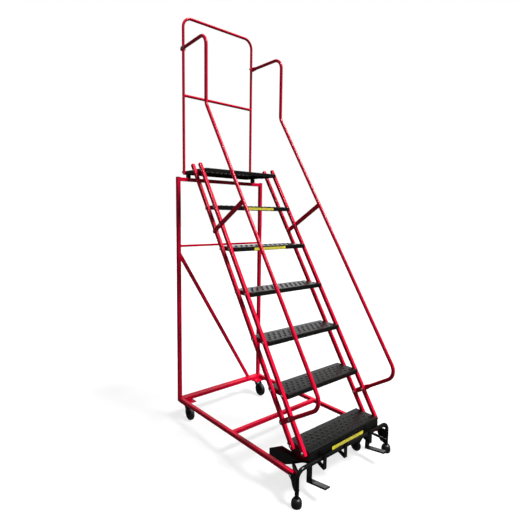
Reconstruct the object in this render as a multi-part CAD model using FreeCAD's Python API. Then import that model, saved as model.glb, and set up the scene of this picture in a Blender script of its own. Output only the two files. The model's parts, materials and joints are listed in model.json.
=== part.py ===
"""Rolling warehouse ladder with six steps, a top platform, a rear guard and two handrails.

Lengths are in millimetres. X runs across the ladder, the climbing side faces -Y, Z is up.
"""
import FreeCAD, Part
import math
import os

V = FreeCAD.Vector

# ---- main sizes ----------------------------------------------------------------------------
TUBE = 25.4                 # square tube of the base and the rear frame, one inch
STRINGER = 22.2             # square tube of the stringers, seven eighths of an inch
WALL = 2.0                  # wall of the square tube
CORNER = 3.0                # outside corner radius of the square tube
STEP_RISE = 254.0           # height of one step, ten inches
STEP_RUN = 161.3            # how far each step is set back behind the one below
STEP_COUNT = 6
TREAD_HALF = 304.8          # half of the 24 inch step width
TREAD_DEPTH = 162.0
TREAD_LIP = 27.0
SHEET = 2.0                 # sheet metal of the steps and the platform
TREAD_1_FRONT = -594.0      # front edge of the lowest step
BOLT_DROP = 11.0            # bolt centre below the top of a step

SLOPE = STEP_RUN / STEP_RISE            # set-back of the stringers for each unit of height
LEAN = math.atan(SLOPE)
STRINGER_X = TREAD_HALF + STRINGER / 2.0    # centre of the stringer tubes
STRINGER_FRONT_Y = -560.0               # front tube centre at the height of the first step
STRINGER_PITCH = 76.2                   # distance between front and rear stringer tubes
STRINGER_REAR_Y = STRINGER_FRONT_Y + STRINGER_PITCH / math.cos(LEAN)
STRINGER_Z0 = 229.0
STRINGER_Z1 = 1795.0
CAP_THICK = 3.0

DECK_TOP = 1768.0
DECK_LIP = 25.0
DECK_FRONT = 364.0
DECK_SHOULDER = 523.0
DECK_REAR = 686.5
DECK_REAR_HALF = 287.9

BASE_X = 368.3              # centre of the side rails, frame thirty inches wide
RAIL_Z = 138.0
RAIL_FRONT = -553.0
MID_RAIL_Y = -15.0
POST_Y = 613.0
POST_TOP = 1716.0
MID_BAR = 15.9
MID_BAR_Z = 1245.0
DIAG_SIZE = 22.2
DIAG_TOP = (-353.0, 1174.0)
DIAG_FOOT = (262.0, 150.7)

GUARD_D = 19.05
GUARD_X = DECK_REAR_HALF + GUARD_D / 2.0
GUARD_Y = 655.6
GUARD_TOP = 2789.0
GUARD_MID = 2277.0
GUARD_FOOT = 1746.0
GUARD_BEND = 65.0
GUARD_BOLT_Z = 1757.0

RAIL_D = 22.2               # handrail tube
RAIL_WALL = 1.6
HANDRAIL_GAP = 264.0        # handrail to front stringer, square to the stringer
HANDRAIL_FLAT = 6.0         # thickness of the flattened tube ends
HANDRAIL_FLAT_W = 30.0
HANDRAIL_TOP_Z = 2587.0
HANDRAIL_END_Z = 2580.0
HANDRAIL_BEND_Z = 2164.0
HANDRAIL_TOP_X = 321.1
HANDRAIL_LOW_Z = 352.0      # height of the lowest handrail bolt
BRACE_LOW_Z = 1362.0        # height of the lower bolt of the handrail brace
BRACE_W = 30.0
BRACE_T = 6.0

LEG_D = 22.2
LEG_WALL = 2.0
LEG_X = 398.0
LEG_Y = -602.0
CROSS_Z = 191.0
LEG_BEND = 45.0
FOOT_R = 28.0
FOOT_H = 50.0
FOOT_FLOOR = 12.0           # rubber under the end of the leg
GUSSET_T = 6.0              # plates between the side rails and the legs
GUSSET_BOLT = (-543.0, 135.0)
STRUT_D = 16.0

PLATE_T = 4.0               # side plates of the front frame
PLATE_X = TREAD_HALF - SHEET - PLATE_T / 2.0
SHAFT_Y = -533.0
SHAFT_Z = 168.0
SHAFT_D = 16.0
SHAFT_HALF = 286.0
RUNNING = 0.05              # radial running clearance of shafts and axles
HANGER_X = (-204.0, -30.0, 204.0)
HANGER_W = 25.0
HANGER_T = 5.0
HANGER_LOW_Z = 135.0
PEDAL_X = 259.0
PEDAL_W = 38.0
PEDAL_T = 6.0
PEDAL_ARM_W = 24.0

FRONT_WHEEL_R = 36.0
FRONT_WHEEL_W = 24.0
FRONT_WHEEL_Y = -474.0
FRONT_WHEEL_Z = 38.0
FRONT_AXLE_D = 8.0
FORK_T = 4.0

CASTER_X = 330.0
CASTER_Y = 570.0
CASTER_TRAIL = 36.0
CASTER_R = 50.0
CASTER_W = 32.0
CASTER_AXLE_D = 10.0
CASTER_TURN = {"left": -5.0, "right": -2.0}

BOLT_D = 8.0
BOLT_HOLE = 8.2
HEX_FLAT = 13.0
HEAD_T = 5.0

SIDES = {"left": -1.0, "right": 1.0}
parts = {}


# ---- shapes --------------------------------------------------------------------------------
def block(x0, x1, y0, y1, z0, z1):
    low = V(min(x0, x1), min(y0, y1), min(z0, z1))
    return Part.makeBox(abs(x1 - x0), abs(y1 - y0), abs(z1 - z0), low)


def rod(p, q, diameter):
    return Part.makeCylinder(diameter / 2.0, (q - p).Length, p, q - p)


def round_bar(size, length, radius):
    """Square bar on the Z axis with rounded corners."""
    bar = Part.makeBox(size, size, length, V(-size / 2.0, -size / 2.0, 0))
    corners = [e for e in bar.Edges if e.BoundBox.ZLength > length - 0.1]
    return bar.makeFillet(radius, corners)


def square_tube(p, q, size=TUBE, wall=WALL):
    """Square tube with open ends from p to q, two of its faces square to X or Y."""
    length = (q - p).Length
    outer = round_bar(size, length, CORNER)
    inner = round_bar(size - 2.0 * wall, length + 2.0, CORNER - wall)
    inner.translate(V(0, 0, -1.0))
    tube = outer.cut(inner)
    turn = FreeCAD.Rotation(V(0, 0, 1), q - p)
    tube.Placement = FreeCAD.Placement(p, turn)
    return tube


def bent_path(points, radius):
    """Straight runs through the points with an arc at every inner corner."""
    edges = []
    start = points[0]
    for before, corner, after in zip(points, points[1:], points[2:]):
        u = (before - corner).normalize()
        w = (after - corner).normalize()
        half = u.getAngle(w) / 2.0
        back = radius / math.tan(half)
        t0 = corner + u * back
        t1 = corner + w * back
        centre = corner + (u + w).normalize() * (radius / math.sin(half))
        middle = centre + (corner - centre).normalize() * radius
        edges.append(Part.makeLine(start, t0))
        edges.append(Part.Arc(t0, middle, t1).toShape())
        start = t1
    edges.append(Part.makeLine(start, points[-1]))
    return Part.Wire(edges)


def swept(points, radius, diameter):
    path = bent_path(points, radius)
    first = points[1] - points[0]
    ring = Part.Wire(Part.makeCircle(diameter / 2.0, points[0], first))
    return path.makePipeShell([ring], True, False)


def bent_tube(points, radius, diameter, wall):
    return swept(points, radius, diameter).cut(swept(points, radius, diameter - 2.0 * wall))


def strap(points, thickness, x0, x1):
    """Flat bar that follows a bent line in the YZ plane, as wide as the span in X."""
    line = [V(0, y, z) for y, z in points]
    sides = {1.0: [], -1.0: []}
    for i, point in enumerate(line):
        into = (line[i] - line[i - 1]).normalize() if i > 0 else None
        out = (line[i + 1] - line[i]).normalize() if i < len(line) - 1 else None
        into = into or out
        out = out or into
        mean = (into + out).normalize()
        normal = V(0, -mean.z, mean.y)
        reach = thickness / 2.0 / mean.dot(into)
        for sign in sides:
            sides[sign].append(point + normal * (sign * reach))
    outline = sides[1.0] + sides[-1.0][::-1]
    face = Part.Face(Part.makePolygon(outline + [outline[0]]))
    low = min(x0, x1)
    face.translate(V(low, 0, 0))
    return face.extrude(V(abs(x1 - x0), 0, 0))


def plate_yz(points, x0, x1):
    ring = [V(min(x0, x1), y, z) for y, z in points]
    face = Part.Face(Part.makePolygon(ring + [ring[0]]))
    return face.extrude(V(abs(x1 - x0), 0, 0))


def hexagon(centre, direction, thickness, flat=HEX_FLAT):
    reach = flat / 2.0 / math.cos(math.pi / 6.0)
    ring = [V(reach * math.cos(a), reach * math.sin(a), 0) for a in
            [i * math.pi / 3.0 for i in range(6)]]
    head = Part.Face(Part.makePolygon(ring + [ring[0]])).extrude(V(0, 0, thickness))
    head.Placement = FreeCAD.Placement(centre, FreeCAD.Rotation(V(0, 0, 1), direction))
    return head


def bolt(head_at, nut_at):
    """Bolt with its head outside head_at and its nut outside nut_at."""
    axis = (nut_at - head_at).normalize()
    shank = rod(head_at, nut_at + axis * (HEAD_T + 1.5), BOLT_D)
    head = hexagon(head_at, axis * -1.0, HEAD_T)
    nut = hexagon(nut_at, axis, HEAD_T + 0.5)
    return shank.fuse([head, nut]).removeSplitter()


def drill(shape, p, q, diameter=BOLT_HOLE):
    axis = (q - p).normalize()
    return shape.cut(rod(p - axis * 2.0, q + axis * 2.0, diameter))


def keep(name, shape):
    parts[name] = shape


def front_line(z):
    return STRINGER_FRONT_Y + SLOPE * (z - STEP_RISE)


def rear_line(z):
    return STRINGER_REAR_Y + SLOPE * (z - STEP_RISE)


# unit vector square to the stringers, towards the climbing side
ACROSS = V(0, -math.cos(LEAN), math.sin(LEAN))


# ---- base frame ----------------------------------------------------------------------------
rail_back = POST_Y - TUBE / 2.0
inner = BASE_X - TUBE / 2.0
rear_rail_y = rail_back - TUBE / 2.0
for side, s in SIDES.items():
    x = s * BASE_X
    keep("side_rail_" + side, square_tube(V(x, RAIL_FRONT, RAIL_Z), V(x, rail_back, RAIL_Z)))
    keep("rear_post_" + side,
         square_tube(V(x, POST_Y, RAIL_Z - TUBE / 2.0), V(x, POST_Y, POST_TOP)))
keep("rear_rail", square_tube(V(-inner, rear_rail_y, RAIL_Z), V(inner, rear_rail_y, RAIL_Z)))
keep("middle_rail", square_tube(V(-inner, MID_RAIL_Y, RAIL_Z), V(inner, MID_RAIL_Y, RAIL_Z)))

# ---- rear frame ----------------------------------------------------------------------------
top_z = POST_TOP - TUBE / 2.0
keep("rear_top_bar", square_tube(V(-inner, POST_Y, top_z), V(inner, POST_Y, top_z)))
keep("rear_bottom_bar", square_tube(V(-inner, POST_Y, RAIL_Z), V(inner, POST_Y, RAIL_Z)))
keep("rear_middle_bar",
     square_tube(V(-inner, POST_Y, MID_BAR_Z), V(inner, POST_Y, MID_BAR_Z), MID_BAR))

diag_a = V(DIAG_TOP[0], POST_Y, DIAG_TOP[1])
diag_b = V(DIAG_FOOT[0], POST_Y, DIAG_FOOT[1])
run = (diag_b - diag_a).normalize()
diagonal = square_tube(diag_a - run * 60.0, diag_b + run * 60.0, DIAG_SIZE)
bay = block(-inner, inner, POST_Y - 20.0, POST_Y + 20.0, RAIL_Z + TUBE / 2.0, 1220.0)
keep("rear_diagonal", diagonal.common(bay))

caps = []
for s in SIDES.values():
    for z in (POST_TOP, RAIL_Z - TUBE / 2.0 - CAP_THICK):
        cap = round_bar(TUBE, CAP_THICK, CORNER)
        cap.translate(V(s * BASE_X, POST_Y, z))
        caps.append(cap)
keep("post_caps", Part.makeCompound(caps))

# ---- stringers -----------------------------------------------------------------------------
stringers = {}
stringer_caps = []
for side, s in SIDES.items():
    for row, line in (("front", front_line), ("rear", rear_line)):
        p = V(s * STRINGER_X, line(STRINGER_Z0), STRINGER_Z0)
        q = V(s * STRINGER_X, line(STRINGER_Z1), STRINGER_Z1)
        stringers["stringer_%s_%s" % (side, row)] = square_tube(p, q, STRINGER)
        along = (q - p).normalize()
        for end, way in ((q, along), (p, along * -1.0)):
            cap = round_bar(STRINGER, CAP_THICK, CORNER)
            rim = [e for e in cap.Edges if e.BoundBox.ZMin > CAP_THICK - 0.1]
            cap = cap.makeFillet(2.0, rim)
            cap.Placement = FreeCAD.Placement(end, FreeCAD.Rotation(V(0, 0, 1), way))
            stringer_caps.append(cap)
keep("stringer_caps", Part.makeCompound(stringer_caps))


# ---- steps ---------------------------------------------------------------------------------
def pan(y0, y1, top, lip, half):
    """Sheet metal tray, open below, with its front top edge rolled."""
    outer = block(-half, half, y0, y1, top - lip, top)
    rim = [e for e in outer.Edges
           if e.BoundBox.YMax < y0 + 0.1 and e.BoundBox.ZMin > top - 0.1]
    outer = outer.makeFillet(4.0, rim)
    hollow = block(-half + SHEET, half - SHEET, y0 + SHEET, y1 - SHEET, top - lip - 1, top - SHEET)
    rim = [e for e in hollow.Edges
           if e.BoundBox.YMax < y0 + SHEET + 0.1 and e.BoundBox.ZMin > top - SHEET - 0.1]
    hollow = hollow.makeFillet(2.0, rim)
    return outer.cut(hollow)


treads = {}
for n in range(1, STEP_COUNT + 1):
    y0 = TREAD_1_FRONT + STEP_RUN * (n - 1)
    treads[n] = pan(y0, y0 + TREAD_DEPTH, STEP_RISE * n, TREAD_LIP, TREAD_HALF)

# ---- platform ------------------------------------------------------------------------------
deck_front = pan(DECK_FRONT, DECK_SHOULDER, DECK_TOP, DECK_LIP, TREAD_HALF)
deck_back = pan(DECK_SHOULDER - 10.0, DECK_REAR, DECK_TOP, DECK_LIP, DECK_REAR_HALF)
gap_half = DECK_REAR_HALF - SHEET
opening = block(-gap_half, gap_half, DECK_SHOULDER - 20.0, DECK_SHOULDER + 4.0,
                DECK_TOP - DECK_LIP - 1.0, DECK_TOP - SHEET)
deck = deck_front.fuse(deck_back).cut(opening).removeSplitter()

standoffs = []
for s in SIDES.values():
    x = s * 288.5
    standoffs.append(square_tube(V(x, POST_Y, POST_TOP), V(x, POST_Y, DECK_TOP - DECK_LIP)))
keep("platform_standoffs", Part.makeCompound(standoffs))

# ---- rear guard ----------------------------------------------------------------------------
hoop_line = [V(-GUARD_X, GUARD_Y, GUARD_FOOT), V(-GUARD_X, GUARD_Y, GUARD_TOP),
             V(GUARD_X, GUARD_Y, GUARD_TOP), V(GUARD_X, GUARD_Y, GUARD_FOOT)]
hoop = bent_tube(hoop_line, GUARD_BEND, GUARD_D, RAIL_WALL)
mid_ends = (V(-GUARD_X, GUARD_Y, GUARD_MID), V(GUARD_X, GUARD_Y, GUARD_MID))
mid_rail = rod(mid_ends[0], mid_ends[1], GUARD_D)
mid_rail = mid_rail.cut(rod(mid_ends[0], mid_ends[1], GUARD_D - 2.0 * RAIL_WALL))
for s in SIDES.values():
    x = s * GUARD_X
    mid_rail = mid_rail.cut(rod(V(x, GUARD_Y, GUARD_MID - 40), V(x, GUARD_Y, GUARD_MID + 40),
                                GUARD_D))
keep("guard_middle_rail", mid_rail)


# ---- handrails -----------------------------------------------------------------------------
def flat_end(eye, along, length, taper):
    """Flattened tube end: round tip about the eye, flat run, then a taper back to round."""
    side_way = V(1, 0, 0)
    up = along.cross(side_way).normalize()
    half_w = HANDRAIL_FLAT_W / 2.0
    half_t = HANDRAIL_FLAT / 2.0

    def ring(at, w, t):
        corners = [at + up * a * w + side_way * b * t
                   for a, b in ((1, 1), (-1, 1), (-1, -1), (1, -1))]
        return Part.makePolygon(corners + [corners[0]])

    tip = rod(eye - side_way * half_t, eye + side_way * half_t, HANDRAIL_FLAT_W)
    flat = Part.Face(ring(eye, half_w, half_t)).extrude(along * length)
    round_at = eye + along * (length + taper)
    r = RAIL_D / 2.0
    c = r * math.sqrt(0.5)
    marks = [round_at + up * a * c + side_way * b * c
             for a, b in ((1, 1), (-1, 1), (-1, -1), (1, -1))]
    middles = [round_at + side_way * r, round_at - up * r,
               round_at - side_way * r, round_at + up * r]
    arcs = [Part.Arc(marks[i], middles[i], marks[(i + 1) % 4]).toShape() for i in range(4)]
    taper_shape = Part.makeLoft([ring(eye + along * length, half_w, half_t), Part.Wire(arcs)],
                                True, True)
    return tip.fuse([flat, taper_shape]), round_at


stringer_bolts = []
handrail_bolts = []
guard_bolts = []
handrails = {}
braces = {}
outer_face = STRINGER_X + STRINGER / 2.0
flat_x = outer_face + HANDRAIL_FLAT / 2.0
for side, s in SIDES.items():
    low_eye = V(s * flat_x, rear_line(HANDRAIL_LOW_Z), HANDRAIL_LOW_Z)
    second_eye = low_eye + ACROSS * STRINGER_PITCH
    low_corner = low_eye + ACROSS * (STRINGER_PITCH + HANDRAIL_GAP)
    rise = HANDRAIL_BEND_Z - low_corner.z
    bend = V(s * HANDRAIL_TOP_X, low_corner.y + SLOPE * rise, HANDRAIL_BEND_Z)
    top_corner = V(bend.x, bend.y, HANDRAIL_TOP_Z)
    eye_x = s * (GUARD_X + GUARD_D / 2.0 + HANDRAIL_FLAT / 2.0)
    top_eye = V(eye_x, GUARD_Y, HANDRAIL_END_Z)
    low_flat, low_start = flat_end(low_eye, ACROSS, STRINGER_PITCH + 18.0, 30.0)
    top_flat, top_start = flat_end(top_eye, V(0, -1, 0), 18.0, 30.0)
    line = [low_start, low_corner, bend, top_corner, top_start]
    core = bent_tube(line, 70.0, RAIL_D, RAIL_WALL)
    rail = core.fuse([low_flat, top_flat])
    solid_rail = swept(line, 70.0, RAIL_D)
    for eye in (low_eye, second_eye):
        head = V(s * (outer_face + HANDRAIL_FLAT), eye.y, eye.z)
        nut = V(s * TREAD_HALF, eye.y, eye.z)
        handrail_bolts.append((head, nut))
    guard_bolts.append((V(eye_x + s * HANDRAIL_FLAT / 2.0, top_eye.y, top_eye.z),
                        V(s * (GUARD_X - GUARD_D / 2.0), top_eye.y, top_eye.z)))
    guard_bolts.append((V(s * (GUARD_X + GUARD_D / 2.0), GUARD_Y, GUARD_BOLT_Z),
                        V(s * (DECK_REAR_HALF - SHEET), GUARD_Y, GUARD_BOLT_Z)))
    handrails[side] = rail

    low = V(s * flat_x, rear_line(BRACE_LOW_Z), BRACE_LOW_Z)
    reach = STRINGER_PITCH + HANDRAIL_GAP - 2.0
    up = V(0, math.sin(LEAN), math.cos(LEAN))
    x0 = s * outer_face
    corners = [low + up * (BRACE_W / 2.0), low - up * (BRACE_W / 2.0),
               low - up * (BRACE_W / 2.0) + ACROSS * reach,
               low + up * (BRACE_W / 2.0) + ACROSS * reach]
    corners = [V(x0, c.y, c.z) for c in corners]
    bar = Part.Face(Part.makePolygon(corners + [corners[0]])).extrude(V(s * BRACE_T, 0, 0))
    eye_rod = rod(V(x0, low.y, low.z), V(x0 + s * BRACE_T, low.y, low.z), BRACE_W)
    bar = bar.fuse(eye_rod).removeSplitter().cut(solid_rail)
    for eye in (low, low + ACROSS * STRINGER_PITCH):
        head = V(s * (outer_face + BRACE_T), eye.y, eye.z)
        handrail_bolts.append((head, V(s * TREAD_HALF, eye.y, eye.z)))
    braces[side] = bar

# ---- front frame ---------------------------------------------------------------------------
leg_line = [V(-LEG_X, LEG_Y, FOOT_FLOOR), V(-LEG_X, LEG_Y, CROSS_Z),
            V(LEG_X, LEG_Y, CROSS_Z), V(LEG_X, LEG_Y, FOOT_FLOOR)]
leg_solid = swept(leg_line, LEG_BEND, LEG_D)
keep("leg_frame", bent_tube(leg_line, LEG_BEND, LEG_D, LEG_WALL))

foot_profile = [V(0, 0, 0), V(FOOT_R - 6, 0, 0), V(FOOT_R - 2, 0, 3), V(FOOT_R, 0, 10),
                V(FOOT_R, 0, FOOT_H - 24), V(FOOT_R - 2, 0, FOOT_H - 14),
                V(FOOT_R - 6, 0, FOOT_H - 6), V(FOOT_R - 12, 0, FOOT_H),
                V(LEG_D / 2.0, 0, FOOT_H), V(LEG_D / 2.0, 0, FOOT_FLOOR), V(0, 0, FOOT_FLOOR)]
foot = Part.Face(Part.makePolygon(foot_profile + [foot_profile[0]]))
foot = foot.revolve(V(0, 0, 0), V(0, 0, 1), 360)
for side, s in SIDES.items():
    one = foot.copy()
    one.translate(V(s * LEG_X, LEG_Y, 0))
    keep("foot_" + side, one)

lip_front = TREAD_1_FRONT
panel = block(-TREAD_HALF, TREAD_HALF, lip_front - 1.0, lip_front + 2.0,
              CROSS_Z + 4.0, STEP_RISE - TREAD_LIP)
panel = panel.cut(block(-262.0, -196.0, lip_front - 5, lip_front + 5, 219.0, 224.0))
keep("front_panel", panel.cut(leg_solid))

plate_line = [(LEG_Y + LEG_D / 2.0 - 4.0, STEP_RISE - 4), (-460.0, STEP_RISE - 4),
              (-460.0, 197.5), (-388.0, 197.5), (-286.0, 140.0), (-286.0, 97.0),
              (-407.0, 97.0), (-473.0, 131.0), (-553.0, 178.0),
              (LEG_Y + LEG_D / 2.0 - 4.0, 188.0)]
plates = {}
for side, s in SIDES.items():
    x0 = s * (TREAD_HALF - SHEET)
    plates[side] = plate_yz(plate_line, x0, x0 - s * PLATE_T).cut(leg_solid)
    lip_room = block(-400, 400, lip_front - 3, lip_front + SHEET, 150, 300)
    plates[side] = plates[side].cut(lip_room)

gusset_line = [(-534.0, RAIL_Z + TUBE / 2.0), (-534.0, 128.0), (-548.0, 112.0), (-558.0, 84.0),
               (-570.0, 66.0), (LEG_Y, 60.0), (LEG_Y, RAIL_Z + TUBE / 2.0)]
rail_outside = BASE_X + TUBE / 2.0
rail_low = RAIL_Z - TUBE / 2.0
gussets = []
struts = []
gusset_bolts = []
for s in SIDES.values():
    plate = plate_yz(gusset_line, s * rail_outside, s * (rail_outside + GUSSET_T))
    plate = plate.cut(leg_solid)
    y, z = GUSSET_BOLT
    hole = (V(s * (rail_outside + GUSSET_T), y, z), V(s * (rail_outside - WALL), y, z))
    gussets.append(drill(plate, hole[0], hole[1]))
    gusset_bolts.append(hole)
    start = V(s * (TREAD_HALF - SHEET - PLATE_T), -474.0, 138.0)
    high = rod(start, V(s * (LEG_X - 8.0), LEG_Y, 172.0), STRUT_D)
    low = rod(start, V(s * (LEG_X - 8.0), LEG_Y, 84.0), STRUT_D)
    bars = high.fuse(low).removeSplitter().cut(leg_solid).cut(plate)
    outside = block(s * (TREAD_HALF - SHEET), s * 420.0, -660, -400, 40, 240)
    struts.append(bars.common(outside))
keep("leg_gussets", Part.makeCompound(gussets))
keep("leg_struts", Part.makeCompound(struts))

# ---- floor lock: shaft, hangers, pedals and lifting wheel ----------------------------------
shaft_at = (V(-SHAFT_HALF, SHAFT_Y, SHAFT_Z), V(SHAFT_HALF, SHAFT_Y, SHAFT_Z))
keep("lock_shaft", rod(shaft_at[0], shaft_at[1], SHAFT_D))

hangers = []
hanger_y = LEG_Y - LEG_D / 2.0 - HANGER_T / 2.0
for x in HANGER_X:
    x0 = x - HANGER_W / 2.0
    x1 = x + HANGER_W / 2.0
    bar = strap([(hanger_y, 216.0), (hanger_y, HANGER_LOW_Z), (SHAFT_Y, SHAFT_Z)],
                HANGER_T, x0, x1)
    eye = rod(V(x0, SHAFT_Y, SHAFT_Z), V(x1, SHAFT_Y, SHAFT_Z), SHAFT_D + 10.0)
    bar = bar.fuse(eye).removeSplitter()
    hangers.append(drill(bar, V(x0, SHAFT_Y, SHAFT_Z), V(x1, SHAFT_Y, SHAFT_Z),
                         SHAFT_D + 2.0 * RUNNING))
keep("shaft_hangers", Part.makeCompound(hangers))

pads = []
for side, s in SIDES.items():
    x = s * PEDAL_X
    arm = strap([(SHAFT_Y, SHAFT_Z), (-558.0, 158.0), (-558.0, 140.0)], PEDAL_T,
                x - PEDAL_ARM_W / 2.0, x + PEDAL_ARM_W / 2.0)
    tread_bar = strap([(-558.0, 146.0), (-558.0, 62.0), (-686.0, 84.0)], PEDAL_T,
                      x - PEDAL_W / 2.0, x + PEDAL_W / 2.0)
    hub = rod(V(x - PEDAL_ARM_W / 2.0, SHAFT_Y, SHAFT_Z),
              V(x + PEDAL_ARM_W / 2.0, SHAFT_Y, SHAFT_Z), SHAFT_D + 10.0)
    pedal = arm.fuse([tread_bar, hub]).removeSplitter()
    keep("pedal_" + side, drill(pedal, V(x - 20, SHAFT_Y, SHAFT_Z), V(x + 20, SHAFT_Y, SHAFT_Z),
                                SHAFT_D))
    rise = (84.0 - 62.0) / 128.0
    pad_a = (-594.0, 62.0 + 36.0 * rise + PEDAL_T / 2.0 * math.sqrt(1 + rise ** 2) + 1.0)
    pad_b = (-680.0, pad_a[1] + 86.0 * rise)
    pad = strap([pad_a, pad_b], 2.0 / math.sqrt(1 + rise ** 2), x - 15.0, x + 15.0)
    pads.append(pad.cut(tread_bar))
keep("pedal_pads", Part.makeCompound(pads))

fork_gap = FRONT_WHEEL_W / 2.0 + 1.5
fork = []
axle_at = V(PEDAL_X, FRONT_WHEEL_Y, FRONT_WHEEL_Z)
shaft_point = V(PEDAL_X, SHAFT_Y, SHAFT_Z)
down = (axle_at - shaft_point).normalize()
for s in (-1.0, 1.0):
    x0 = s * fork_gap
    x1 = s * (fork_gap + FORK_T)
    low = min(x0, x1)
    across = V(0, -down.z, down.y)
    corners = [shaft_point + across * 15.0, axle_at + across * 11.0,
               axle_at - across * 11.0, shaft_point - across * 15.0]
    corners = [V(PEDAL_X + low, c.y, c.z) for c in corners]
    cheek = Part.Face(Part.makePolygon(corners + [corners[0]])).extrude(V(FORK_T, 0, 0))
    big = Part.makeCylinder(15.0, FORK_T, V(PEDAL_X + low, SHAFT_Y, SHAFT_Z), V(1, 0, 0))
    small = Part.makeCylinder(11.0, FORK_T, V(PEDAL_X + low, FRONT_WHEEL_Y, FRONT_WHEEL_Z),
                              V(1, 0, 0))
    cheek = cheek.fuse([big, small]).removeSplitter()
    cheek = drill(cheek, V(PEDAL_X + low, SHAFT_Y, SHAFT_Z),
                  V(PEDAL_X + low + FORK_T, SHAFT_Y, SHAFT_Z), SHAFT_D)
    fork.append(cheek)
reach = fork_gap + FORK_T + 3.0
front_axle = rod(V(PEDAL_X - reach, FRONT_WHEEL_Y, FRONT_WHEEL_Z),
                 V(PEDAL_X + reach, FRONT_WHEEL_Y, FRONT_WHEEL_Z), FRONT_AXLE_D)
keep("front_fork", fork[0].fuse([fork[1], front_axle]).removeSplitter())


def wheel(centre, radius, core_radius, width, bore, axis):
    """Tyre and core of a small wheel, the core with a dished disc between rim and hub."""
    half = width / 2.0
    r = radius
    c = core_radius
    b = bore / 2.0
    hub = b + 6.0
    tyre_line = [(c, -half + 3), (c, half - 3), (r - 6, half - 1), (r - 1.5, half - 5),
                 (r, half - 9), (r, -half + 9), (r - 1.5, -half + 5), (r - 6, -half + 1)]
    core_line = [(b, -half), (hub, -half), (hub, -5.0), (c - 5, -4.0), (c - 5, -half + 3),
                 (c, -half + 3), (c, half - 3), (c - 5, half - 3), (c - 5, 4.0), (hub, 5.0),
                 (hub, half), (b, half)]
    shapes = []
    for line in (tyre_line, core_line):
        ring = [V(a, 0, h) for a, h in line]
        face = Part.Face(Part.makePolygon(ring + [ring[0]]))
        shape = face.revolve(V(0, 0, 0), V(0, 0, 1), 360)
        shape.Placement = FreeCAD.Placement(centre, FreeCAD.Rotation(V(0, 0, 1), axis))
        shapes.append(shape)
    return shapes


tyre, core = wheel(axle_at, FRONT_WHEEL_R, 27.0, FRONT_WHEEL_W, FRONT_AXLE_D + 2 * RUNNING,
                   V(1, 0, 0))
keep("front_tyre", tyre)
keep("front_wheel_core", core)

# ---- rear casters --------------------------------------------------------------------------
corner_bottom = rail_low - 5.0
caster_bolts = []
for side, s in SIDES.items():
    cx = s * CASTER_X
    plate = block(s * 283.0, s * (BASE_X + TUBE / 2.0), CASTER_Y - 42.0, rail_back,
                  corner_bottom, rail_low)
    top = block(cx - 45.0, cx + 45.0, CASTER_Y - 34.0, CASTER_Y + 34.0,
                corner_bottom - 4.0, corner_bottom)
    race = Part.makeCylinder(20.0, 8.0, V(cx, CASTER_Y, corner_bottom - 12.0))
    pin = Part.makeCylinder(7.0, 12.0, V(cx, CASTER_Y, corner_bottom - 22.0))
    pin_head = Part.makeCylinder(11.0, 4.0, V(cx, CASTER_Y, corner_bottom - 21.8))
    top = top.fuse([race, pin, pin_head]).removeSplitter()
    for dx in (-36.0, 36.0):
        for dy in (-21.0, 21.0):
            x = cx + dx
            y = CASTER_Y + dy
            under_tube = abs(x) > inner or dy > 0.0
            head = V(x, y, corner_bottom - 4.0)
            nut = V(x, y, rail_low + (WALL if under_tube else 0.0))
            caster_bolts.append((head, nut))
            plate = drill(plate, head, nut)
            top = drill(top, head, nut)
    keep("corner_plate_" + side, plate)
    keep("caster_plate_" + side, top)

    crown_top = corner_bottom - 12.3
    crown = Part.makeCylinder(23.0, 4.0, V(0, 0, crown_top - 4.0))
    cheeks = []
    for t in (-1.0, 1.0):
        x0 = t * (CASTER_W / 2.0 + 1.5)
        x1 = x0 + t * 4.0
        cheek = plate_yz([(-23.0, crown_top), (20.0, crown_top), (-30.0, 44.0), (-54.0, 44.0)],
                         x0, x1)
        boss = Part.makeCylinder(13.0, 4.0, V(min(x0, x1), -CASTER_TRAIL, CASTER_R), V(1, 0, 0))
        cheeks.append(cheek.fuse(boss))
    axle = rod(V(-25.0, -CASTER_TRAIL, CASTER_R), V(25.0, -CASTER_TRAIL, CASTER_R),
               CASTER_AXLE_D)
    bridge = block(-21.5, 21.5, -23.0, 20.0, crown_top - 4.0, crown_top)
    whole = crown.fuse(cheeks + [axle, bridge]).removeSplitter()
    whole = whole.cut(Part.makeCylinder(7.0 + RUNNING, 20.0, V(0, 0, crown_top - 10.0)))
    centre = V(0, -CASTER_TRAIL, CASTER_R)
    tyre, core = wheel(centre, CASTER_R, 38.0, CASTER_W, CASTER_AXLE_D + 2 * RUNNING, V(1, 0, 0))
    for name, shape in (("caster_fork_", whole), ("caster_tyre_", tyre),
                        ("caster_wheel_core_", core)):
        shape.rotate(V(0, 0, 0), V(0, 0, 1), CASTER_TURN[side])
        shape.translate(V(cx, CASTER_Y, 0))
        keep(name + side, shape)

# ---- bolts through stringers, steps and platform -------------------------------------------
for side, s in SIDES.items():
    for n in range(1, STEP_COUNT + 2):
        top = STEP_RISE * n if n <= STEP_COUNT else DECK_TOP
        z = top - BOLT_DROP
        nut_x = TREAD_HALF - SHEET - (PLATE_T if n == 1 else 0.0)
        for line in (front_line, rear_line):
            head = V(s * outer_face, line(z), z)
            stringer_bolts.append((head, V(s * nut_x, line(z), z)))


def drilled(shape, holes):
    for head, nut in holes:
        shape = drill(shape, head, nut)
    return shape


def near(holes, **limits):
    """Bolt positions whose side, height and set-back lie inside the limits."""
    chosen = []
    for head, nut in holes:
        side_ok = limits.get("side", 0.0) * head.x >= 0.0
        low, high = limits.get("z", (0.0, 4000.0))
        if side_ok and low <= head.z <= high:
            chosen.append((head, nut))
    return chosen


def on_line(holes, line):
    return [(head, nut) for head, nut in holes if abs(line(head.z) - head.y) < 1.0]


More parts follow.
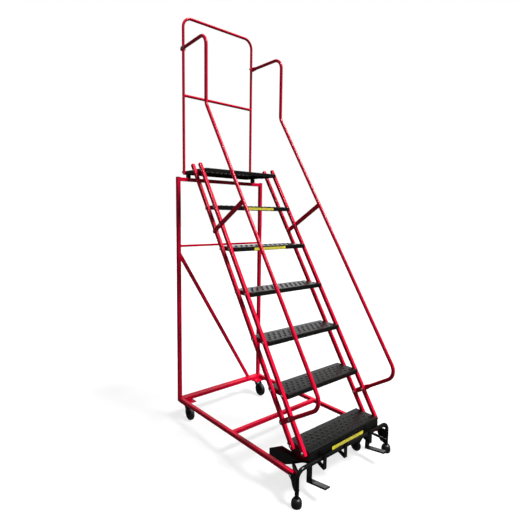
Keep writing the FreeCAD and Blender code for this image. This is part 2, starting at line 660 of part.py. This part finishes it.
stringer_holes = stringer_bolts + handrail_bolts
for side, s in SIDES.items():
    for row, line in (("front", front_line), ("rear", rear_line)):
        name = "stringer_%s_%s" % (side, row)
        mine = on_line(near(stringer_holes, side=s), line)
        keep(name, drilled(stringers[name], mine))
    low_bolts = near(handrail_bolts, side=s, z=(0.0, 800.0))
    brace_bolts = near(handrail_bolts, side=s, z=(800.0, 1700.0))
    top_bolts = near(guard_bolts, side=s, z=(2400.0, 2700.0))
    keep("handrail_" + side, drilled(handrails[side], low_bolts + top_bolts))
    keep("handrail_brace_" + side, drilled(braces[side], brace_bolts))
    keep("side_plate_" + side, drilled(plates[side], near(stringer_bolts, side=s, z=(0, 300))))
for n, shape in treads.items():
    top = STEP_RISE * n
    keep("tread_%d" % n, drilled(shape, near(stringer_bolts, z=(top - 20.0, top))))
deck_bolts = near(stringer_bolts, z=(DECK_TOP - 20.0, DECK_TOP))
deck_bolts = deck_bolts + near(guard_bolts, z=(DECK_TOP - 20.0, DECK_TOP))
keep("platform_deck", drilled(deck, deck_bolts))
keep("guard_hoop", drilled(hoop, guard_bolts))
for side, s in SIDES.items():
    below = [(head, nut) for head, nut in caster_bolts + gusset_bolts
             if s * head.x > inner]
    keep("side_rail_" + side, drilled(parts["side_rail_" + side], below))
below = [(head, nut) for head, nut in caster_bolts if abs(head.x) < inner and nut.z > rail_low]
keep("rear_rail", drilled(parts["rear_rail"], below))

groups = {"step_bolts": stringer_bolts, "handrail_bolts": handrail_bolts,
          "guard_bolts": guard_bolts, "base_bolts": caster_bolts + gusset_bolts}
for name, holes in groups.items():
    keep(name, Part.makeCompound([bolt(head, nut) for head, nut in holes]))

# ---- files ---------------------------------------------------------------------------------
os.makedirs("parts", exist_ok=True)
for name, shape in sorted(parts.items()):
    shape.exportStep("parts/%s.step" % name)
    solids = shape.Solids
    box = shape.BoundBox
    print("%-22s solids %2d valid %s  x %.0f..%.0f y %.0f..%.0f z %.0f..%.0f" % (
        name, len(solids), shape.isValid(), box.XMin, box.XMax, box.YMin, box.YMax,
        box.ZMin, box.ZMax))
print("nodes", len(parts))
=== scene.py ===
"""Rolling warehouse ladder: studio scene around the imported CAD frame. Lengths are in metres."""
import json
import math
import bmesh
import bpy
from mathutils import Matrix, Vector


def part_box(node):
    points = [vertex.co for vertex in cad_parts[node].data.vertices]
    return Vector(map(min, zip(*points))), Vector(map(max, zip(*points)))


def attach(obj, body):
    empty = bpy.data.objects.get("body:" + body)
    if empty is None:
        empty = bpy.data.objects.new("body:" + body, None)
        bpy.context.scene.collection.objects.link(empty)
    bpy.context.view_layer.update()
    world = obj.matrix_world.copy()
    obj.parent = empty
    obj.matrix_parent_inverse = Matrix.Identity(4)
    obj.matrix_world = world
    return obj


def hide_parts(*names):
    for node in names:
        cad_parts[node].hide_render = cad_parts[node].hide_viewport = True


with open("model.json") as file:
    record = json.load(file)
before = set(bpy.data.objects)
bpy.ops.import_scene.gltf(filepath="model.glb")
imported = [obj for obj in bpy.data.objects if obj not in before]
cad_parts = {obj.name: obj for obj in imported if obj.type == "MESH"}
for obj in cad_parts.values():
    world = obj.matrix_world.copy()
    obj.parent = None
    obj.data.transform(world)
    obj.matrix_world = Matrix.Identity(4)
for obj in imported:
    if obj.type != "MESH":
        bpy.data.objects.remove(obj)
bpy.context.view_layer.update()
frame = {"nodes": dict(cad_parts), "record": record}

SCENE = bpy.context.scene
NODES = frame["nodes"]
ROOT = "ladder_frame"
STEPS = 6


# ---- materials -----------------------------------------------------------------------------
class Shader:
    """Small helper round one material's node tree."""

    def __init__(self, name):
        self.material = bpy.data.materials.new(name)
        self.material.use_nodes = True
        self.tree = self.material.node_tree
        self.bsdf = self.tree.nodes["Principled BSDF"]
        self.place = self.tree.nodes.new("ShaderNodeTexCoord").outputs["Object"]

    def node(self, kind, **values):
        made = self.tree.nodes.new(kind)
        for key, value in values.items():
            made.inputs[key.replace("_", " ")].default_value = value
        return made

    def link(self, a, b):
        self.tree.links.new(a, b)

    def noise(self, scale, detail=3.0, roughness=0.5):
        made = self.node("ShaderNodeTexNoise", Scale=scale, Detail=detail, Roughness=roughness)
        self.link(self.place, made.inputs["Vector"])
        return made.outputs["Fac"]

    def ramp(self, source, stops):
        made = self.tree.nodes.new("ShaderNodeValToRGB")
        elements = made.color_ramp.elements
        while len(elements) < len(stops):
            elements.new(0.5)
        for element, (at, colour) in zip(elements, stops):
            element.position = at
            element.color = (*colour, 1.0)
        self.link(source, made.inputs["Fac"])
        return made.outputs["Color"]

    def spread(self, source, low, high):
        made = self.tree.nodes.new("ShaderNodeMapRange")
        made.inputs["From Min"].default_value = 0.3
        made.inputs["From Max"].default_value = 0.7
        made.inputs["To Min"].default_value = low
        made.inputs["To Max"].default_value = high
        self.link(source, made.inputs["Value"])
        return made.outputs["Result"]

    def bump(self, height, strength, distance, under=None):
        made = self.node("ShaderNodeBump", Strength=strength, Distance=distance)
        self.link(height, made.inputs["Height"])
        if under is not None:
            self.link(under, made.inputs["Normal"])
        return made.outputs["Normal"]

    def fixed(self, **values):
        for key, value in values.items():
            self.bsdf.inputs[key.replace("_", " ")].default_value = value


def enamel(name, dark, body, light, rough, gloss, coat, peel):
    """Baked paint on steel: slight colour drift, orange peel and a clear gloss."""
    m = Shader(name)
    drift = m.noise(9.0, 4.0)
    m.link(m.ramp(drift, [(0.3, dark), (0.5, body), (0.72, light)]), m.bsdf.inputs["Base Color"])
    m.link(m.spread(m.noise(60.0, 4.0), rough * 0.8, rough * 1.25), m.bsdf.inputs["Roughness"])
    waves = m.bump(m.noise(330.0, 2.0), peel, 0.0006)
    m.link(m.bump(m.noise(25.0, 2.0), peel * 0.5, 0.0015, waves), m.bsdf.inputs["Normal"])
    m.fixed(Specular_IOR_Level=gloss, Coat_Weight=coat, Coat_Roughness=0.08)
    return m.material


def steel(name):
    """Zinc plated fasteners and pins with fine crystalline mottling."""
    m = Shader(name)
    mottle = m.noise(420.0, 5.0, 0.6)
    m.link(m.ramp(mottle, [(0.3, (0.46, 0.46, 0.45)), (0.6, (0.78, 0.78, 0.76))]),
           m.bsdf.inputs["Base Color"])
    m.link(m.spread(m.noise(700.0), 0.2, 0.42), m.bsdf.inputs["Roughness"])
    m.link(m.bump(mottle, 0.2, 0.0003), m.bsdf.inputs["Normal"])
    m.fixed(Metallic=1.0)
    return m.material


def moulded(name, dark, light, rough, grain_scale, grain):
    """Rubber or plastic with a fine moulded grain and dusty patches."""
    m = Shader(name)
    patches = m.noise(28.0, 5.0, 0.6)
    m.link(m.ramp(patches, [(0.35, dark), (0.75, light)]), m.bsdf.inputs["Base Color"])
    m.link(m.spread(m.noise(90.0), rough * 0.85, min(1.0, rough * 1.15)),
           m.bsdf.inputs["Roughness"])
    m.link(m.bump(m.noise(grain_scale, 4.0, 0.6), grain, 0.0004), m.bsdf.inputs["Normal"])
    return m.material


def step_paint(name):
    """Semi-gloss black on the grip sheets, scuffed grey where shoes rub it."""
    m = Shader(name)
    scuff = m.noise(38.0, 6.0, 0.65)
    m.link(m.ramp(scuff, [(0.3, (0.0022, 0.0022, 0.0020)), (0.55, (0.0040, 0.0040, 0.0036)),
                          (0.8, (0.0100, 0.0100, 0.0090))]), m.bsdf.inputs["Base Color"])
    m.link(m.spread(m.noise(120.0, 4.0), 0.24, 0.38), m.bsdf.inputs["Roughness"])
    m.link(m.bump(m.noise(520.0, 2.0), 0.25, 0.0005), m.bsdf.inputs["Normal"])
    m.fixed(Specular_IOR_Level=0.36)
    return m.material


PRINT_ROWS = 1130.0         # radians per metre, three or four rows of dashes
INK = 0.75


def label_print(name, ends):
    """Yellow sticker with rows of plain grey dashes up to a distance of ends from its middle."""
    m = Shader(name)
    axes = m.tree.nodes.new("ShaderNodeSeparateXYZ")
    m.link(m.place, axes.inputs["Vector"])

    def maths(kind, a, b):
        made = m.tree.nodes.new("ShaderNodeMath")
        made.operation = kind
        for socket, value in zip(made.inputs, (a, b)):
            if isinstance(value, (int, float)):
                socket.default_value = value
            else:
                m.link(value, socket)
        return made.outputs["Value"]

    wave = maths("SINE", maths("MULTIPLY", axes.outputs["Z"], PRINT_ROWS), 0.0)
    rows = maths("GREATER_THAN", wave, 0.1)
    words = m.node("ShaderNodeTexNoise", Scale=1.0, Detail=2.0)
    stretch = m.tree.nodes.new("ShaderNodeMapping")
    stretch.inputs["Scale"].default_value = (260.0, 1.0, 180.0)
    m.link(m.place, stretch.inputs["Vector"])
    m.link(stretch.outputs["Vector"], words.inputs["Vector"])
    dashes = maths("GREATER_THAN", words.outputs["Fac"], 0.44)
    middle = maths("LESS_THAN", maths("ABSOLUTE", axes.outputs["X"], 0.0), ends)
    ink = maths("MULTIPLY", maths("MULTIPLY", rows, dashes), middle)
    fade = m.ramp(m.noise(45.0, 4.0), [(0.3, (0.72, 0.60, 0.02)), (0.7, (0.86, 0.76, 0.05))])
    mix = m.tree.nodes.new("ShaderNodeMix")
    mix.data_type = "RGBA"
    m.link(maths("MULTIPLY", ink, INK), mix.inputs["Factor"])
    m.link(fade, mix.inputs[6])
    mix.inputs[7].default_value = (0.10, 0.10, 0.12, 1.0)
    m.link(mix.outputs[2], m.bsdf.inputs["Base Color"])
    m.link(m.spread(m.noise(80.0), 0.35, 0.5), m.bsdf.inputs["Roughness"])
    m.link(m.bump(m.noise(300.0), 0.1, 0.0003), m.bsdf.inputs["Normal"])
    return m.material


red = enamel("paint_red", (0.54, 0.001, 0.024), (0.62, 0.002, 0.031), (0.68, 0.003, 0.038),
             0.22, 0.14, 0.08, 0.08)
black = enamel("paint_black", (0.0020, 0.0020, 0.0020), (0.0032, 0.0032, 0.0030),
               (0.0055, 0.0055, 0.0050), 0.20, 0.24, 0.10, 0.10)
grip_black = step_paint("paint_step")
zinc = steel("plating_zinc")
foot_rubber = moulded("rubber_foot", (0.003, 0.003, 0.003), (0.009, 0.009, 0.008), 0.38, 600.0, 0.4)
pad_rubber = moulded("rubber_pad", (0.055, 0.055, 0.055), (0.11, 0.11, 0.105), 0.7, 500.0, 0.6)
tyre_rubber = moulded("rubber_tyre", (0.008, 0.008, 0.008), (0.024, 0.024, 0.022), 0.5, 450.0, 0.5)
core_plastic = moulded("plastic_core", (0.016, 0.016, 0.016), (0.034, 0.034, 0.032), 0.42, 700.0, 0.3)
cap_plastic = moulded("plastic_cap", (0.006, 0.006, 0.006), (0.014, 0.014, 0.014), 0.4, 800.0, 0.3)

FINISH = {"red_enamel": red, "black_enamel": black, "step_black": grip_black, "zinc": zinc,
          "foot_rubber": foot_rubber, "pad_rubber": pad_rubber, "tyre_rubber": tyre_rubber,
          "core_plastic": core_plastic, "cap_plastic": cap_plastic}
for part in frame["record"]["subparts"]:
    for holder in NODES[part["node"]].material_slots:
        holder.material = FINISH[part["material_slot"]]


# ---- piece helpers -------------------------------------------------------------------------
SMOOTH_BELOW = math.radians(40.0)       # edges with a smaller bend are shaded smooth


def piece(name, bm, material, place=(0.0, 0.0, 0.0)):
    """Object made from a bmesh, riding on the ladder frame."""
    bmesh.ops.recalc_face_normals(bm, faces=bm.faces)
    mesh = bpy.data.meshes.new(name)
    bm.to_mesh(mesh)
    bm.free()
    mesh.materials.append(material)
    mesh.shade_smooth()
    mesh.set_sharp_from_angle(angle=SMOOTH_BELOW)
    made = bpy.data.objects.new(name, mesh)
    made.location = place
    SCENE.collection.objects.link(made)
    bpy.context.view_layer.update()
    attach(made, ROOT)
    return made


# ---- grip sheets: steps and platform -------------------------------------------------------
SHEET = 0.002
EDGE_ROLL = 0.0045          # outside radius between the top and the lips
LIP_BREAK = 0.0006          # bevel on the lower edge of the lips
COLUMNS = 14
ROW_PITCH = 0.028
NOSE = 0.021                # plain strip behind the front edge
TAIL = 0.006                # least plain strip before the back edge
# radius and height of the rings round a punched hole, for the upper and the lower skin
SPOT_RINGS = (((0.0095, 0.0), (0.0080, 0.0010), (0.0066, 0.0019), (0.0055, 0.0021),
               (0.0048, 0.0014), (0.0046, -0.0050)),
              ((0.0095, 0.0), (0.0082, 0.0006), (0.0070, 0.0008), (0.0061, -0.0005),
               (0.0058, -0.0030)))
SPOT_SIDES = 12
KEY_SCALE = 20011.0         # points nearer than a twentieth of a millimetre are one point


def cell_outline(x0, x1, y0, y1):
    """Twelve points round a cell, counted from the middle of its +X side, anticlockwise."""
    xm = (x0 + x1) / 2.0
    ym = (y0 + y1) / 2.0
    q = (x1 - x0) / 4.0
    return [(x1, ym), (x1, y1), (xm + q, y1), (xm, y1), (xm - q, y1), (x0, y1),
            (x0, ym), (x0, y0), (xm - q, y0), (xm, y0), (xm + q, y0), (x1, y0)]


def outward(edge):
    """Unit vector in the XY plane that points away from the only face of a rim edge."""
    a, b = edge.verts
    along = b.co - a.co
    way = Vector((along.y, -along.x, 0.0)).normalized()
    inside = edge.link_faces[0].calc_center_median() - (a.co + b.co) / 2.0
    return -way if way.dot(inside) > 0.0 else way


def grip_sheet(name, node, shoulders, field_half):
    """Sheet metal tray with staggered, punched grip holes and rolled edges.

    shoulders lists (back edge, half width) of the outline from front to back. Both skins are
    laid in the same plan, layer 0 above layer 1, and then joined round the holes and the rim.
    """
    low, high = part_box(node)
    top = high.z
    shoulders = [(back - EDGE_ROLL, half - EDGE_ROLL) for back, half in shoulders]
    y_front = low.y + EDGE_ROLL
    y_back = shoulders[-1][0]
    first = low.y + NOSE
    rows = int((high.y - TAIL - first) / ROW_PITCH)
    pitch = 2.0 * field_half / COLUMNS
    field = [first + ROW_PITCH * i for i in range(rows + 1)]
    quarter = [-field_half + pitch * i / 4.0 for i in range(4 * COLUMNS + 1)]
    bm = bmesh.new()
    grid = {}
    holes = ([], [])

    def at(x, y, layer):
        key = (round(x * KEY_SCALE), round(y * KEY_SCALE), layer)
        if key not in grid:
            grid[key] = bm.verts.new((x, y, top - layer * SHEET))
        return grid[key]

    def flat(points, layer):
        bm.faces.new([at(x, y, layer) for x, y in points])

    def half_at(y):
        return next(half for back, half in shoulders if y < back + 1e-6)

    def strip(plain_y, shared_y, layer):
        half = half_at((plain_y + shared_y) / 2.0)
        shared = [(x, shared_y) for x in reversed(quarter)]
        flat([(-half, plain_y), (half, plain_y), (half, shared_y)] + shared
             + [(-half, shared_y)], layer)

    for layer in (0, 1):
        for r, (y0, y1) in enumerate(zip(field, field[1:])):
            ym = (y0 + y1) / 2.0
            shift = pitch / 2.0 if r % 2 else 0.0
            for c in range(COLUMNS - r % 2):
                x0 = -field_half + shift + c * pitch
                outer = [at(x, y, layer) for x, y in cell_outline(x0, x0 + pitch, y0, y1)]
                for radius, lift in SPOT_RINGS[layer]:
                    ring = []
                    for i in range(SPOT_SIDES):
                        angle = 2.0 * math.pi * i / SPOT_SIDES
                        ring.append(bm.verts.new((x0 + pitch / 2.0 + radius * math.cos(angle),
                                                  ym + radius * math.sin(angle),
                                                  top - layer * SHEET + lift)))
                    for i in range(SPOT_SIDES):
                        j = (i + 1) % SPOT_SIDES
                        bm.faces.new((outer[i], outer[j], ring[j], ring[i]))
                    outer = ring
                holes[layer].append(outer)
            for side in (-1.0, 1.0):
                edge = side * (field_half - shift)
                steps = [side * field_half, side * (field_half - pitch / 4.0)] if shift else []
                rim = [(side * half_at(y0 + 1e-4), y0)]
                for back, half in shoulders[:-1]:
                    if y0 < back < y1:
                        rim += [(side * half, back), (side * half_at(back + 1e-4), back)]
                rim.append((side * half_at(y1 - 1e-4), y1))
                flat(rim + [(x, y1) for x in steps] + [(edge, y1), (edge, ym), (edge, y0)]
                     + [(x, y0) for x in reversed(steps)], layer)
        strip(y_front, field[0], layer)
        strip(y_back, field[-1], layer)
    for upper, lower in zip(*holes):
        for i in range(SPOT_SIDES):
            j = (i + 1) % SPOT_SIDES
            bm.faces.new((upper[i], upper[j], lower[j], lower[i]))

    rim_edges = [e for e in bm.edges if e.is_boundary and abs(e.verts[0].co.z - top) < 1e-6]
    ways = {}
    for edge in rim_edges:
        way = outward(edge)
        for vert in edge.verts:
            ways.setdefault(vert, []).append(way)
    chains = {}
    bore_roll = EDGE_ROLL - SHEET
    for vert, (one, two) in ways.items():
        way = one if (one - two).length < 1e-3 else one + two
        profile = [(EDGE_ROLL * math.sin(t), top - EDGE_ROLL * (1.0 - math.cos(t)))
                   for t in (math.pi / 6.0, math.pi / 3.0, math.pi / 2.0)]
        profile += [(EDGE_ROLL, low.z + LIP_BREAK), (EDGE_ROLL - LIP_BREAK, low.z),
                    (bore_roll + LIP_BREAK, low.z), (bore_roll, low.z + LIP_BREAK)]
        profile += [(bore_roll * math.sin(t), top - SHEET - bore_roll * (1.0 - math.cos(t)))
                    for t in (math.pi / 2.0, math.pi / 3.0, math.pi / 6.0)]
        chain = [vert]
        for out, z in profile:
            chain.append(bm.verts.new((vert.co.x + way.x * out, vert.co.y + way.y * out, z)))
        chain.append(at(vert.co.x, vert.co.y, 1))
        chains[vert] = chain
    for edge in rim_edges:
        one, two = (chains[v] for v in edge.verts)
        for i in range(len(one) - 1):
            bm.faces.new((one[i], two[i], two[i + 1], one[i + 1]))
    made = piece(name, bm, grip_black)
    made.modifiers.new("weighted_normal", "WEIGHTED_NORMAL").keep_sharp = True
    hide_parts(node)


STEP_MARGIN = 0.018         # plain strip at each end of a step
DECK_REAR_HALF = 0.2879     # half width of the platform between the guard posts
DECK_SHOULDER = 0.523       # where the platform narrows
DECK_MARGIN = 0.010

for n in range(1, STEPS + 1):
    node = "tread_%d" % n
    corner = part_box(node)[1]
    grip_sheet("step_%d" % n, node, [(corner.y, corner.x)], corner.x - STEP_MARGIN)

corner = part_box("platform_deck")[1]
grip_sheet("platform", "platform_deck", [(DECK_SHOULDER, corner.x), (corner.y, DECK_REAR_HALF)],
           DECK_REAR_HALF - DECK_MARGIN)


# ---- labels --------------------------------------------------------------------------------
LABEL_THICK = 0.0003
LABEL_CORNER = 0.003
PANEL_LABEL_Z = 0.2095
STEP_LABEL_RISE = 0.0115    # label centre above the lower edge of the step


def label(name, centre, width, height, ends):
    """Rounded sticker whose face looks towards -Y."""
    bm = bmesh.new()
    ring = []
    for sx, sz, start in ((1, 1, 0), (-1, 1, 90), (-1, -1, 180), (1, -1, 270)):
        for k in range(4):
            angle = math.radians(start + 30.0 * k)
            x = sx * (width / 2.0 - LABEL_CORNER) + LABEL_CORNER * math.cos(angle)
            z = sz * (height / 2.0 - LABEL_CORNER) + LABEL_CORNER * math.sin(angle)
            ring.append(bm.verts.new((x, 0.0, z)))
    face = bm.faces.new(ring)
    back = bmesh.ops.extrude_face_region(bm, geom=[face])
    for vert in [v for v in back["geom"] if isinstance(v, bmesh.types.BMVert)]:
        vert.co.y += LABEL_THICK
    piece(name, bm, label_print("print_" + name, ends), place=centre)


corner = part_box("front_panel")[0]
label("label_front", (0.018, corner.y - LABEL_THICK, PANEL_LABEL_Z), 0.277, 0.0190, 0.115)
for n, x, width in ((5, -0.015, 0.268), (6, 0.033, 0.237)):
    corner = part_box("tread_%d" % n)[0]
    centre = (x, corner.y - LABEL_THICK, corner.z + STEP_LABEL_RISE)
    label("label_step_%d" % n, centre, width, 0.0165, 0.11)

# ---- studio --------------------------------------------------------------------------------
DOME_RADIUS = 45.0


def stage_object(name, bm, material):
    mesh = bpy.data.meshes.new(name)
    bm.to_mesh(mesh)
    bm.free()
    mesh.materials.append(material)
    made = bpy.data.objects.new(name, mesh)
    SCENE.collection.objects.link(made)
    return made


floor_shader = Shader("studio_floor")
floor_shader.link(floor_shader.ramp(floor_shader.noise(2.0, 3.0),
                                    [(0.3, (0.30, 0.30, 0.30)), (0.7, (0.32, 0.32, 0.32))]),
                  floor_shader.bsdf.inputs["Base Color"])
floor_shader.fixed(Roughness=0.9, Specular_IOR_Level=0.0, Emission_Strength=0.74,
                   Emission_Color=(1.0, 1.0, 1.0, 1.0))
bm = bmesh.new()
bmesh.ops.create_circle(bm, cap_ends=True, radius=DOME_RADIUS, segments=96)
floor = stage_object("studio_floor", bm, floor_shader.material)
floor.visible_diffuse = False
floor.visible_glossy = False

backdrop = Shader("studio_backdrop")
backdrop.fixed(Base_Color=(0.0, 0.0, 0.0, 1.0), Emission_Color=(1.0, 1.0, 1.0, 1.0),
               Emission_Strength=1.0, Specular_IOR_Level=0.0)
bm = bmesh.new()
bmesh.ops.create_uvsphere(bm, u_segments=64, v_segments=32, radius=DOME_RADIUS)
dome = stage_object("studio_backdrop", bm, backdrop.material)
dome.visible_diffuse = False
dome.visible_glossy = False
dome.visible_transmission = False
dome.visible_shadow = False

# weak light from all round, a little stronger overhead, and pale walls behind the ladder
world = bpy.data.worlds.new("studio_world")
world.use_nodes = True
SCENE.world = world
sky = world.node_tree
direction = sky.nodes.new("ShaderNodeTexCoord").outputs["Generated"]


def sky_ramp(toward, start, start_value, end, end_value):
    """Brightness that changes with the cosine of the angle to one direction."""
    facing = sky.nodes.new("ShaderNodeVectorMath")
    facing.operation = "DOT_PRODUCT"
    facing.inputs[1].default_value = Vector(toward).normalized()
    sky.links.new(direction, facing.inputs[0])
    made = sky.nodes.new("ShaderNodeMapRange")
    made.interpolation_type = "SMOOTHSTEP"
    for key, value in (("From Min", start), ("To Min", start_value), ("From Max", end),
                       ("To Max", end_value)):
        made.inputs[key].default_value = value
    sky.links.new(facing.outputs["Value"], made.inputs["Value"])
    return made.outputs["Result"]


def brighter(one, two):
    total = sky.nodes.new("ShaderNodeMath")
    total.operation = "ADD"
    sky.links.new(one, total.inputs[0])
    sky.links.new(two, total.inputs[1])
    return total.outputs["Value"]


overhead = sky_ramp((0.0, 0.0, 1.0), -0.2, 0.10, 0.9, 0.30)
wall = sky_ramp((0.63, 0.73, 0.27), 0.70, 0.0, 0.97, 0.34)
low_windows = sky_ramp((0.65, 0.757, 0.03), 0.95, 0.0, 1.0, 1.1)
sky.links.new(brighter(brighter(overhead, wall), low_windows),
              sky.nodes["Background"].inputs["Color"])


def sun(name, azimuth, elevation, strength, angle):
    """Soft distant light that comes from a compass direction: 0 is -Y, 90 is +X."""
    a = math.radians(azimuth)
    e = math.radians(elevation)
    come_from = Vector((math.sin(a) * math.cos(e), -math.cos(a) * math.cos(e), math.sin(e)))
    data = bpy.data.lights.new(name, "SUN")
    data.energy = strength
    data.angle = math.radians(angle)
    made = bpy.data.objects.new(name, data)
    made.rotation_mode = "QUATERNION"
    made.rotation_quaternion = come_from.to_track_quat("Z", "Y")
    SCENE.collection.objects.link(made)


sun("key_light", 30.0, 56.0, 5.4, 20.0)

# ---- camera --------------------------------------------------------------------------------
CAMERA_AT = Vector((-1.84315, -1.98292, 1.46648))
CAMERA_YAW = math.radians(-40.74)
CAMERA_PITCH = math.radians(-6.27)
CAMERA_ROLL = math.radians(0.78)
FOCAL_PIXELS = 422.25
IMAGE_PIXELS = 523
SENSOR = 36.0

forward = Vector((-math.sin(CAMERA_YAW) * math.cos(CAMERA_PITCH),
                  math.cos(CAMERA_YAW) * math.cos(CAMERA_PITCH), math.sin(CAMERA_PITCH)))
level = Vector((math.cos(CAMERA_YAW), math.sin(CAMERA_YAW), 0.0))
upright = level.cross(forward)
right = level * math.cos(CAMERA_ROLL) + upright * math.sin(CAMERA_ROLL)
up = upright * math.cos(CAMERA_ROLL) - level * math.sin(CAMERA_ROLL)
camera_data = bpy.data.cameras.new("camera")
camera_data.sensor_width = SENSOR
camera_data.lens = FOCAL_PIXELS / IMAGE_PIXELS * SENSOR
camera_data.clip_end = 200.0
camera = bpy.data.objects.new("camera", camera_data)
SCENE.collection.objects.link(camera)
turn = Matrix((right, up, -forward)).transposed()
camera.matrix_world = Matrix.Translation(CAMERA_AT) @ turn.to_4x4()
SCENE.camera = camera
SCENE.view_settings.view_transform = "Standard"
SCENE.view_settings.look = "None"
